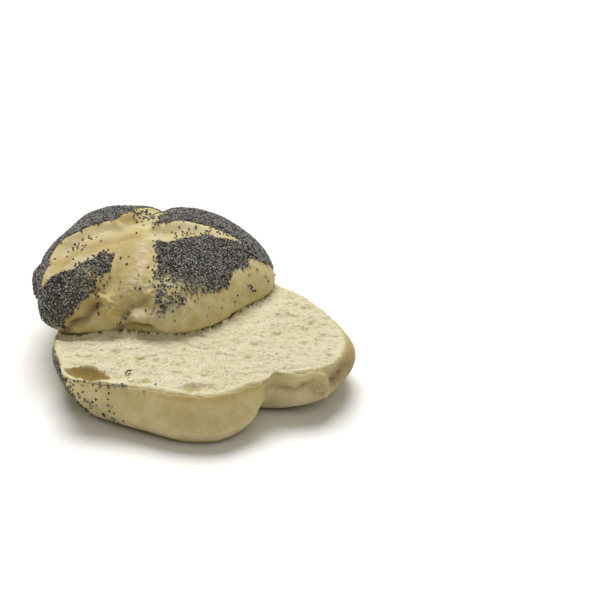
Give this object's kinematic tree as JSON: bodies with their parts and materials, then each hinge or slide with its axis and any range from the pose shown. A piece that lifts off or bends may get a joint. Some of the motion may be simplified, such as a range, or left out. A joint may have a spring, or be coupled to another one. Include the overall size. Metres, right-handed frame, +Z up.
{
  "type": "bread roll",
  "caption": "Poppy seed roll sliced level in two, its domed and seeded lid slid back over the torn crumb of the lobed base.",
  "frame": {"origin": "on the surface that the roll stands on, under the middle of the box round both halves", "axes": "+Z up; +Y to the back, where the lid has been slid to; +X to the right of someone who looks along +Y"},
  "size_m": [0.1384, 0.1591, 0.0552],
  "materials": {
    "crust": "pale cream-yellow baked crust, satin, lightly floured",
    "crumb": "torn pale crumb, matte and porous",
    "poppy_seeds": "blue-grey to black seeds, faintly glossy"
  },
  "bodies": {
    "root": {"roll_base": "crust", "roll_lid": "crust"}
  },
  "joints": []
}
